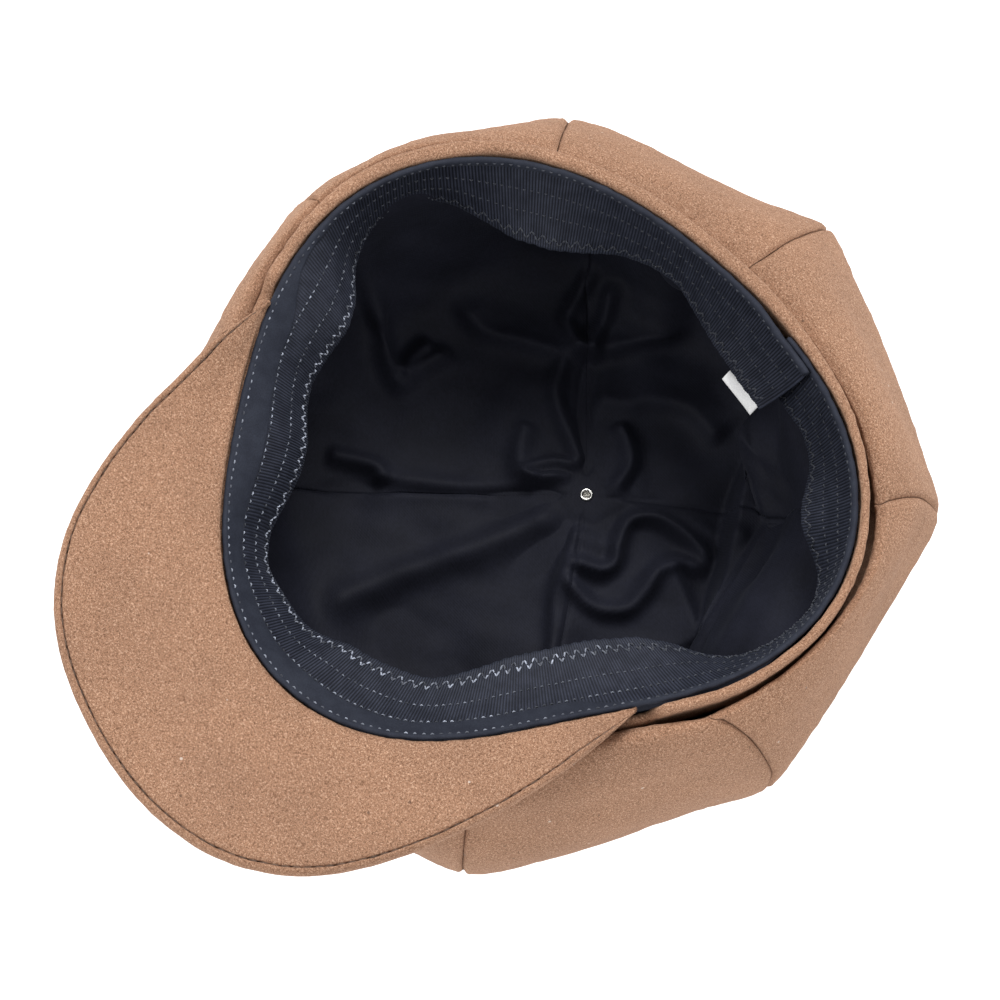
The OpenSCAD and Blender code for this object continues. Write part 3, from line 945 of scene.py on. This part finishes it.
# Each fold: its line, how far it stands up, its width, and how much it is a step
# (its left side stays up) rather than a ridge.
FOLDS = [
    # the back fold, where the floor meets the bulging back wall
    (
        [(-84, 12), (-67, 11), (-54, 19), (-43, 26), (-36, 33), (-30, 44), (-25, 55), (-18, 66)],
        5.0, 3.2, 0.75,
    ),
    # the pinched seam that runs up the back wall
    ([(-57, 54), (-53, 42), (-49, 35), (-36, 31)], 4.0, 2.8, 0.0),
    ([(-49, 56), (-43, 48), (-39, 39), (-34, 32)], 4.0, 2.8, 0.0),
    # the seam from the ring to the back, and the ridge beside it
    ([(-3, 3), (-18, 15), (-28, 24), (-37, 34)], -1.8, 2.0, 0.0),
    ([(-42, 29), (-38, 22), (-32, 15), (-18, 9), (-6, 6)], 3.2, 3.0, 0.0),
    # the seam from the ring to the left, and the ridge behind it
    ([(-3, -3), (-17, -18), (-32, -34), (-48, -50), (-64, -68)], -1.4, 2.0, 0.2),
    ([(-9, 1), (-16, -12), (-24, -24), (-34, -34), (-48, -48)], 1.8, 4.0, 0.0),
    # the broad diagonal fold towards the front
    ([(1, -8), (-4, -19), (-10, -38), (-17, -56), (-23, -75), (-29, -94)], 4.2, 5.5, 0.0),
    # the groove beside the front seam
    ([(4, -7), (11, -20), (17, -30), (28, -41), (38, -52)], 3.4, 2.6, 0.85),
    # the seam to the right, and the ridge along it
    ([(5, 3), (19, 15), (39, 24), (50, 30)], 1.8, 3.5, 0.0),
    # the small hook beside the ring
    ([(-6, 2), (-11, -4), (-15, -9), (-19, -10), (-18, -5), (-14, 1), (-7, 4)], 2.6, 2.0, 0.0),
    ([(-12, -9), (-20, -11), (-27, -5), (-32, 3)], 2.2, 3.2, 0.0),
    # the curved fold behind the ring
    ([(0, 3), (4, 9), (2, 17), (-5, 22), (-13, 24)], 3.6, 2.8, 0.0),
    # the M-shaped folds between the ring and the front right
    (
        [(10, -23), (15, -18), (22, -13), (23, -8), (19, -3), (16, 3), (17, 8), (23, 13),
         (35, 16), (48, 16)],
        4.4, 2.6, 0.0,
    ),
    (
        [(11, -22), (20, -24), (30, -23), (37, -16), (37, -8), (34, 1), (36, 7), (41, 11),
         (48, 14)],
        3.8, 2.8, 0.0,
    ),
    ([(64, -4), (46, 3), (34, 7)], 4.0, 3.0, 0.8),
    # the V-shaped crease and the small fold on the left wall
    ([(-100, -9), (-84, -18), (-71, -21), (-70, -12), (-68, 1)], 5.0, 3.6, 0.0),
    ([(-72, -20), (-75, -13), (-75, -3)], 4.0, 3.0, 0.0),
    ([(-68, -56), (-60, -50), (-53, -46), (-47, -48)], 3.6, 3.0, 0.0),
    # the sweep across the right-hand floor
    ([(-24, 22), (-14, 30), (-9, 37), (1, 44), (17, 44)], 4.2, 3.6, 0.8),
]
# The edge of the slack cloth at the wearer's right
FLAP = [
    (8, 104), (13, 84), (21, 62), (26, 52), (32, 38), (38, 29), (48, 16), (59, 0), (67, -9),
    (72, -24), (74, -42),
]
# The lowest that the lining lies, (distance from the button, height), clear of the crown
LINING_FLOOR = [(0, 7.8), (3, 7.7), (12, 7.9), (18, 7.4), (26, 5.8), (42, 4.0), (60, 3.6)]


def lining_front(from_a, to_a, rows, columns):
    """The inner face of one quarter of the lining, with its folds."""
    t = np.linspace(0, 1, rows)
    u = 0.7 * t + 0.3 * (1 - np.cos(np.pi * t)) / 2
    a = from_a + (to_a - from_a) * u
    s = np.linspace(0, 1, columns)
    p = catmull(lining_keys(a), s)
    inward = -grid_normals(p, False)
    xy = p[..., :2]
    height = np.zeros(xy.shape[:-1])
    low = 1 - ease((p[..., 2] - 48) / 16)
    for line, tall, wide, one_sided in FOLDS:
        dist, side, share = along_line(xy, curve_through(line))
        ends = ease(share / 0.12) * ease((1 - share) / 0.12)
        ridge = np.exp(-((dist / wide) ** 2))
        slope = 0.5 * (1 + np.tanh(1.4 * side * dist / wide)) * np.exp(-dist / (4 * wide))
        height += 1.3 * tall * ends * (ridge * (1 - one_sided) + 1.3 * slope * one_sided)
    height += waves(p, 60, 71, 2) * 1.6 + waves(p, 22, 72, 2) * 0.45
    # on one side of the flap's edge the lining is pushed in and rises to the ribbon
    dist, side, share = along_line(xy, curve_through(FLAP))
    past = np.where(side > 0, dist, -dist)
    flap = ease((past + 3) / 6) * ease((xy[..., 1] + 36) / 30) * ease((76 - xy[..., 1]) / 16)
    push = 14 * flap * ease((72 - p[..., 2]) / 40)
    hub = np.linalg.norm(xy, axis=-1)
    calm = ease((hub - 5) / 7) * low
    p = p + inward * ((height + push) * calm)[..., None]
    # the panels meet in a fine sewn line
    arc = np.minimum(u, 1 - u)[:, None] * np.radians(to_a - from_a) * np.maximum(hub, 4)
    p = p - inward * (0.7 * np.exp(-((arc / 0.9) ** 2)) * ease((hub - 4) / 6))[..., None]
    side = np.stack([-np.sin(np.radians(a)), np.cos(np.radians(a)), 0 * a], -1)[:, None, :]
    # the quarters overlap by a hair, so that no light comes up between them
    hug = -0.03 * (np.exp(-u / 0.01) - np.exp(-(1 - u) / 0.01))[:, None, None]
    p = p + side * hug
    hub = np.linalg.norm(p[..., :2], axis=-1)
    p[..., 2] = np.maximum(p[..., 2], np.interp(hub, *zip(*LINING_FLOOR)))
    return p


for i in range(4):
    front = lining_front(LINING_SEAMS[i], LINING_SEAMS[i + 1], 110, 150)
    # the inner face shows, so the cloth's thickness lies behind it
    piece = cloth_piece(
        f"lining_quarter_{i + 1}", front, COTTON, "cap", [f"lining_panel_{i + 1}"],
        COTTON_MAT, side=-1.0, bulge=0.02,
    )


# ---- The brim ----
# How far the brim's edge lies from its centre, at angles from the front
BRIM_REACH = smooth_ring(
    [
        (-179, 80), (-91, 81.6), (-79, 83.5), (-65, 88.2), (-52, 97.4), (-42, 106.2),
        (-35, 112.6), (-27, 117.7), (-20, 120.4), (-12, 121.5), (-2, 122.9), (7, 123.7),
        (17, 122.6), (28, 116.7), (41, 104.5), (52, 95.5), (64, 88.5), (79, 83.0),
        (91, 81), (179, 80),
    ],
    3.0,
)


def brim_outline(u):
    """The brim's edge, u from -1 at one tip to 1 at the other."""
    a = 91.0 * u
    return polar(BRIM_CENTRE, BRIM_REACH(a), a - 90, BRIM_TOP)


def brim_seam(u):
    """The brim's inner edge, sewn to the band, at the same u."""
    return rim_point(-90 + BRIM_SPAN * u, 0.35, BRIM_TOP)


even = np.linspace(-1, 1, 150)
BRIM_U = 0.985 * (np.sin(even * np.pi / 2) * 0.35 + even * 0.65)  # closer at the tips
BRIM_DEPTH = np.linalg.norm(brim_outline(BRIM_U) - brim_seam(BRIM_U), axis=-1)
# The folded edge narrows, and every layer thins, towards the brim's two tips
NARROW = np.clip(BRIM_DEPTH / 13, 0.02, 1)
THIN = np.clip(BRIM_DEPTH / 9, 0.3, 1)


def brim_point(v, down):
    """v from 0 at the seam to 1 at the edge, down from the face that lies uppermost."""
    v = np.asarray(v) + 0 * BRIM_U
    a, b = brim_seam(BRIM_U), brim_outline(BRIM_U)
    p = a + (b - a) * v[:, None]
    wave = waves(p * [1, 1, 0], 90, 81, 2) * 0.8 * ease(v * 3)
    p[:, 2] += v * (4 + 5 * BRIM_U**2) * np.clip(BRIM_DEPTH / 11, 0, 1) - down * THIN + wave
    return p


def brim_in(e):
    """The place that lies e mm in from the brim's edge."""
    return 1 - e * NARROW / BRIM_DEPTH


def brim_cloth(name, path, thick, node_name, side, seed):
    """A felt cloth along the brim, from (place, down) for each column."""
    front = np.stack([brim_point(v, d) for v, d in path], 1)
    grain = waves(front, 5, seed) * 0.08 + rng.normal(size=front.shape[:2]) * 0.02
    front = front + grid_normals(front, False) * (grain * THIN[:, None])[..., None]
    thick = np.asarray(thick)[None, :] * THIN[:, None]
    made = cloth_piece(name, front, thick, "cap", [node_name], FELT_MAT, side=side)


# the cloth that shows: down at its seam, flat, and turned under just inside the groove
base = brim_in(LIP + 3.4)
path = [(base * k, d) for k, d in ((0, 1.1), (0.012, 0.5), (0.03, 0.15), (0.06, 0.0))]
path += [(base * k, 0.0) for k in np.linspace(0.1, 1.0, 36)]
path += [
    (brim_in(LIP + e), d)
    for e, d in ((2.6, 0.0), (1.8, 0.05), (1.2, 0.2), (0.75, 0.5), (0.5, 1.0))
]
brim_cloth(
    "brim_under_felt", path, [FELT] * 40 + [1.9, 1.8, 1.6, 1.3, 1.0], "brim_under_cloth", -1.0,
    83,
)

# the other cloth: out along the far side, round the edge and over on to the near side
half = BRIM_STACK / 2
round_edge = np.linspace(0.15, np.pi - 0.15, 13)
path = [(brim_in(3.2) * k, BRIM_STACK) for k in np.linspace(0.0, 1.0, 24)]
path += [(brim_in(LIP - LIP * np.sin(b)), half + half * np.cos(b)) for b in round_edge]
path += [(brim_in(LIP - 0.05), 0.08), (brim_in(LIP + 0.2), 0.4), (brim_in(LIP + 0.3), 0.9)]
thick = [FELT] * 23 + [1.9, 1.8, 1.7, 1.6] + [1.5] * 11 + [1.4, 1.2]
brim_cloth(
    "brim_upper_felt", path, thick, "brim_upper_cloth", 1.0,
    84,
)

reach = brim_in(4.6) - 0.05
card = np.stack([brim_point(0.03 + reach * k, FELT + 0.4) for k in np.linspace(0, 1, 16)], 1)
cloth_piece(
    "brim_card", card[18:-18], 1.4, "cap", ["brim_board"], BOARD_MAT, side=-1.0
)

# small brown stitches along the groove inside the brim's edge
r = np.random.default_rng(91)
groove = brim_point(brim_in(LIP + 0.38), 0.62)
length = np.concatenate([[0], np.cumsum(np.linalg.norm(np.diff(groove, axis=0), axis=1))])
mid = np.arange(6, length[-1] - 6, 3.1)


def on_groove(x):
    return np.stack([np.interp(x, length, groove[:, k]) for k in range(3)], -1)


tone = np.clip(0.5 + r.normal(size=len(mid)) * 0.3, 0, 1)
up = np.tile([0.0, 0.0, 1.0], (len(mid), 1))
stitches(
    "brim_edge_stitches", on_groove(mid - 1.1), on_groove(mid + 1.1), up, 0.2, 0.06, tone, "cap",
    ["brim_edge_stitch"], BROWN_THREAD_MAT,
)


# ---- The button ----
button_r = (BUTTON[1][0] - BUTTON[0][0]) / 2
button_mid = (BUTTON[0][:2] + BUTTON[1][:2]) / 2
# (radius, height), from the middle of its flat face round to the crown
profile = np.array([
    (0.15, 0.0), (0.25 * button_r, 0.0), (0.5 * button_r, 0.04), (0.68 * button_r, 0.24),
    (0.8 * button_r, 0.6), (0.9 * button_r, 1.2), (0.965 * button_r, 2.0),
    (button_r - 0.05, 2.8), (button_r - 0.1, 3.5), (button_r - 0.5, 4.0), (button_r - 1.0, 4.1),
])
turn = np.linspace(0, 360, 120, endpoint=False)[:, None]
front = polar(button_mid, profile[:, 0], turn, profile[:, 1])
# small pleats where the cover is drawn in round the edge
fade = np.interp(np.arange(len(profile)), [4, 8, 10], [0, 1, 1])
pleat = 0.10 * np.sin(17 * np.radians(turn)) * fade
front[..., :2] *= (1 + pleat / button_r)[..., None] * 0.995
cloth_piece(
    "button_felt", front, 1.1, "button", ["button_cover"], FELT_MAT, closed=True
)

# the metal pieces keep their CAD shapes
for name in ("button_shell", "button_backplate", "button_shank"):
    obj = frame["nodes"][name]
    obj.data.materials.clear()
    obj.data.materials.append(STEEL_MAT)

# ---- The size label: a strip of satin folded back on itself ----
joint = next(j for j in frame["joints"] if j["child"] == "label")
LABEL_W, LABEL_H = 14.0, 3.5
anchor = np.array(joint["pos_m"]) / MM
axis = unit(np.array(joint["axis"], float))
outward = sum(low_high("size_label")) / 2 - anchor
outward = unit(outward - axis * (outward @ axis))
above = np.cross(axis, outward)
w = np.linspace(-LABEL_W / 2, LABEL_W / 2, 25)[:, None]
# (outwards from the hinge, above the middle): out, round the fold and back
path = [(0.0, 0.30)] + [(LABEL_H * k, 0.32 + 0.05 * np.sin(np.pi * k)) for k in (0.3, 0.6, 0.85)]
fold = np.linspace(0.3, np.pi - 0.3, 7)
path += [(LABEL_H + 0.22 * np.sin(b), 0.28 * np.cos(b)) for b in fold]
path += [(LABEL_H * k, -0.32 - 0.05 * np.sin(np.pi * k)) for k in (0.85, 0.6, 0.3)]
path += [(0.0, -0.30)]
front = np.stack(
    [
        anchor + axis * w + outward * (h * (1.25 - 0.035 * w) + 0.1 * np.sin(w / 4))
        + above * (o + 0.25 * (w / 7) ** 2)
        for h, o in path
    ],
    1,
)
cloth_piece("size_label_satin", front, 0.2, "label", ["size_label"], LABEL_MAT)


# ---- Stage, light and camera ----
FLOOR_HALF = 12.0  # metres
FLOOR_Z = -0.0004  # metres
corners = [
    (FLOOR_HALF * x, FLOOR_HALF * y, FLOOR_Z) for x, y in ((-1, -1), (1, -1), (1, 1), (-1, 1))
]
floor_mesh = bpy.data.meshes.new("floor")
floor_mesh.from_pydata(corners, [], [(0, 1, 2, 3)])
floor = bpy.data.objects.new("floor", floor_mesh)
bpy.context.scene.collection.objects.link(floor)
floor_mat, tree, shader, place = new_material(
    "floor", {"Roughness": 0.9, "Emission Strength": 0.95, "Emission Color": rgb(1, 1, 1)}
)
pale = ramp(tree, noise(tree, place, 8, 2), [(0.3, (0.46, 0.46, 0.462)), (0.7, (0.47,) * 3)])
tree.links.new(pale, shader.inputs["Base Color"])
floor_mesh.materials.append(floor_mat)

world = bpy.data.worlds.new("studio")
world.use_nodes = True
background = world.node_tree.nodes["Background"]
background.inputs["Color"].default_value = rgb(1.0, 1.0, 1.0)
background.inputs["Strength"].default_value = 0.53
bpy.context.scene.world = world
LIGHTS_AIM = Vector((0, -0.03, 0.05))

# (name, place in metres, size in metres, power in watts)
for name, place, size, power in (
    ("key", (-0.48, 0.66, 1.17), 0.6, 16.0),
    ("fill", (1.30, 0.10, 0.80), 0.8, 6.5),
    ("side", (-0.50, -1.10, 0.85), 0.8, 9.0),
):
    data = bpy.data.lights.new(name, "AREA")
    data.shape = "DISK"
    data.size = size
    data.energy = power
    obj = bpy.data.objects.new(name, data)
    obj.location = place
    obj.rotation_mode = "QUATERNION"
    obj.rotation_quaternion = (LIGHTS_AIM - Vector(place)).to_track_quat("-Z", "Y")
    bpy.context.scene.collection.objects.link(obj)


CAMERA_PLACE = Vector((0.1370, -0.1570, 0.7727))
AZIMUTH, ELEVATION = np.radians(49), np.radians(75)
camera_data = bpy.data.cameras.new("camera")
camera_data.sensor_width = 36.0
camera_data.lens = 86.04
camera_data.clip_start = 0.02
camera = bpy.data.objects.new("camera", camera_data)
right = Vector((np.cos(AZIMUTH), np.sin(AZIMUTH), 0))
level = np.cos(ELEVATION)
back = Vector((np.sin(AZIMUTH) * level, -np.cos(AZIMUTH) * level, np.sin(ELEVATION)))
turn = Matrix((right, back.cross(right), back)).transposed().to_4x4()
camera.matrix_world = Matrix.Translation(CAMERA_PLACE) @ turn
bpy.context.scene.collection.objects.link(camera)
bpy.context.scene.camera = camera
bpy.context.scene.view_settings.view_transform = "Standard"
